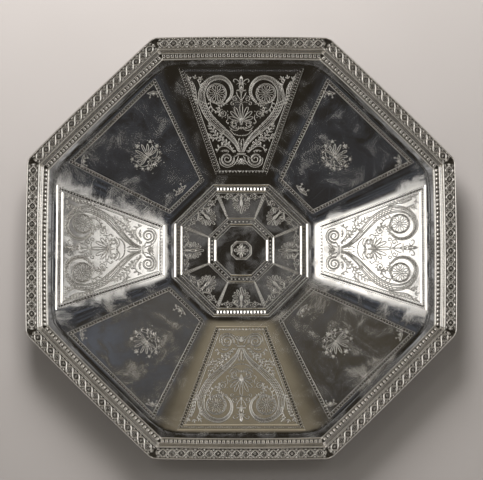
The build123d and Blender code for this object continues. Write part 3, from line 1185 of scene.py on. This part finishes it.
# ---- light
def studio_world():
    """A studio by direction alone: grey walls, brighter low down, a dark patch overhead, a white
    panel at each side of it and a beige wall beyond it. The camera's angle decides which of them
    each facet mirrors."""
    world = bpy.data.worlds.new("studio")
    bpy.context.scene.world = world
    world.use_nodes = True
    g = Graph(world.node_tree)
    output = g.node("OutputWorld")
    background = g.node("Background")
    g.join(background.outputs[0], output.inputs[0])
    toward = g.node("TexCoord").outputs["Generated"]
    split = g.node("SeparateXYZ")
    g.join(toward, split.inputs[0])
    x, ahead, z = split.outputs
    y = g.minus(ahead, 0.036)  # so that zero is near what the flat centre mirrors
    wide = g.size(x)

    walls = g.mix(g.ramp(g.noise(toward, 2.4, 3.0, 0.5), 0.3, 0.7), (0.16, 0.15, 0.13),
                  (0.34, 0.32, 0.29))
    # a beige wall that the near facet mirrors
    overhead = g.mix(g.ramp(y, 0.28, 0.50), (0.020, 0.017, 0.013), (0.38, 0.33, 0.24))
    overhead = g.mix(g.ramp(y, 0.50, 0.66), overhead, (0.62, 0.56, 0.46))
    # how far a direction is from the middle of the dark patch
    across = g.maths("DIVIDE", x, 0.40)
    along = g.maths("DIVIDE", g.minus(y, 0.10), 0.50)
    away = g.maths("SQRT", g.plus(g.times(across, across), g.times(along, along)))
    # a bright belt low down, where the steep sides of the relief face, uneven in its upper part
    low = g.times(g.ramp(z, 0.04, 0.14), g.minus(1.0, g.ramp(z, 0.36, 0.52)))
    belt = g.mix(g.ramp(wide, 0.15, 0.85), (0.46, 0.44, 0.40), (1.10, 1.06, 0.97))
    dim = g.times(g.ramp(g.noise(toward, 5.0, 2.0, 0.5), 0.44, 0.58), g.ramp(z, 0.22, 0.30))
    belt = g.mix(dim, belt, (0.24, 0.23, 0.21))
    walls = g.mix(low, walls, belt)
    colour = g.mix(g.ramp(away, 0.85, 1.25), overhead, walls)
    # cool clouds of light overhead
    cool = g.ramp(g.noise(toward, 55.0, 4.0, 0.5, 0.8), 0.44, 0.70)
    cool = g.times(cool, g.ramp(wide, 0.10, 0.16), g.ramp(z, 0.75, 0.85))
    colour = g.mix(cool, colour, (0.11, 0.125, 0.16))
    # a faint grey glow just off the middle, which the plain band mirrors at the left and right
    glow = g.times(g.ramp(wide, 0.018, 0.030), g.ramp(y, 0.130, 0.145))
    glow = g.times(glow, g.minus(1.0, g.ramp(y, 0.180, 0.195)))
    glow = g.times(glow, g.minus(1.0, g.ramp(wide, 0.08, 0.12)))
    colour = g.mix(glow, colour, (0.36, 0.36, 0.37))
    # white panels to the left and the right, taller the further they are from the middle
    side = g.size(g.minus(x, 0.010))
    taller = g.times(g.maths("MAXIMUM", g.minus(side, 0.26), 0.0), 0.7)
    above = g.size(g.minus(y, 0.17))
    panel = g.minus(1.0, g.ramp(g.minus(above, taller), 0.022, 0.060))
    panel = g.times(panel, g.ramp(side, 0.212, 0.272), g.minus(1.0, g.ramp(side, 0.46, 0.56)))
    panel = g.times(panel, g.ramp(z, 0.0, 0.1))
    g.join(g.mix(panel, colour, (2.8, 2.74, 2.65)), background.inputs["Color"])


def area_light(name, place, aim, size, power, colour):
    """A square soft light at a place, turned to the point it is aimed at. It is left out of
    mirror reflections."""
    light = bpy.data.lights.new(name, "AREA")
    light.shape = "SQUARE"
    light.size = size
    light.energy = power
    light.color = colour
    lamp = bpy.data.objects.new(name, light)
    bpy.context.scene.collection.objects.link(lamp)
    lamp.location = place
    lamp.visible_glossy = False
    lamp.rotation_mode = "QUATERNION"
    lamp.rotation_quaternion = (Vector(aim) - Vector(place)).to_track_quat("-Z", "Y")


def pale_floor():
    """A plain pale floor, with a faint unevenness in its tone."""
    mesh = bpy.data.meshes.new("floor")
    reach = 6.0
    corners = [(-reach, -reach, 0), (reach, -reach, 0), (reach, reach, 0), (-reach, reach, 0)]
    mesh.from_pydata(corners, [], [(0, 1, 2, 3)])
    floor = bpy.data.objects.new("floor", mesh)
    bpy.context.scene.collection.objects.link(floor)
    material = bpy.data.materials.new("floor_paint")
    material.use_nodes = True
    g = Graph(material.node_tree)
    output = g.node("OutputMaterial")
    shader = g.node("BsdfPrincipled")
    g.join(shader.outputs[0], output.inputs[0])
    tone = g.noise(g.node("TexCoord").outputs["Object"], 9.0, 2.0, 0.5)
    paint = g.mix(tone, (0.38, 0.36, 0.35), (0.42, 0.398, 0.388))
    g.put(on=shader, Base_Color=paint, Roughness=0.8, Specular_IOR_Level=0.2)
    mesh.materials.append(material)


# ---- camera
def camera():
    """A long lens that looks down on the salver, eleven degrees from square on."""
    data = bpy.data.cameras.new("camera")
    eye = bpy.data.objects.new("camera", data)
    bpy.context.scene.collection.objects.link(eye)
    bpy.context.scene.camera = eye
    distance = 3.0
    view_width = 0.3425  # width of the frame at the salver
    above_centre = 0.0066  # how far up the frame the aim lies from the salver's middle
    data.sensor_width = 36.0
    data.lens = data.sensor_width * distance / view_width
    data.clip_start, data.clip_end = 0.1, 30.0
    elevation = math.radians(78.7)
    back = Vector((0, -math.cos(elevation), math.sin(elevation)))
    up = Vector((0, math.sin(elevation), math.cos(elevation)))
    centre = (cad_low + cad_high) / 2
    target = centre + up * above_centre + Vector((0.0002, 0, 0))
    eye.location = target + back * distance
    eye.rotation_mode = "QUATERNION"
    eye.rotation_quaternion = (-back).to_track_quat("-Z", "Y")


# ---- assembly
camera()
plate_silver = silver("plate_silver", (0.90, 0.885, 0.855), (0.42, 0.36, 0.28), 0.05, 0.24,
                      (42, -38, 84), cloud_size=0.02)
# its tint is lighter than the plate's silver so that the engraving looks brighter: a painted
# highlight
relief_silver_painted_lighter = silver("relief_silver_painted_lighter", (0.96, 0.94, 0.91), (0.06, 0.052, 0.042), 0.26, 0.36,
                       (42, -38))
border_silver = silver("border_silver", (0.91, 0.885, 0.85), (0.05, 0.042, 0.032), 0.06, 0.13,
                       (0, 90))
foot_silver = silver("foot_silver", (0.88, 0.86, 0.82), (0.3, 0.26, 0.2), 0.12, 0.24, (15, 75))

plate_mesh(plate_silver)
square_on = (0, 2, 4, 6)
diagonal = (1, 3, 5, 7)
heart = heart_panel()
anthemion = anthemion_panel()
medallion = medallion_sector()
for number, sector in enumerate(square_on, start=1):
    drape(f"heart_engraving_{number}", heart, [sector], relief_silver_painted_lighter)
for number, sector in enumerate(diagonal, start=1):
    drape(f"anthemion_engraving_{number}", anthemion, [sector], relief_silver_painted_lighter)
drape("medallion_engraving", medallion, range(SIDES), relief_silver_painted_lighter)
drape("centre_ornament", centre_ornament(), [2], relief_silver_painted_lighter)

strip_ground = ([STRIP_BAND_IN, STRIP_BAND_IN + 2.2, STRIP_BAND_OUT - 2.2, STRIP_BAND_OUT],
                [3.15, 3.3, 3.3, 3.15])
dentil_ground = ([DENTIL_IN, DENTIL_OUT], [0.6, 1.0])
ribbon = guilloche()
blocks = dentils()
for number in range(1, SIDES + 1):
    rim_piece(f"border_{number}", strip_profile(), ribbon, strip_ground, number - 1,
              border_silver, f"border_strip_{number}")
    rim_piece(f"moulding_{number}", moulding_profile(), blocks, dentil_ground, number - 1,
              border_silver, f"dentil_moulding_{number}")
for number in range(1, 5):
    foot_mesh(number, foot_silver)

pale_floor()
studio_world()
area_light("key", (-0.1, 0.62, 0.46), (0, 0.1, 0), 0.4, 9.5, (1.0, 0.97, 0.95))
bpy.context.scene.view_settings.view_transform = "Standard"
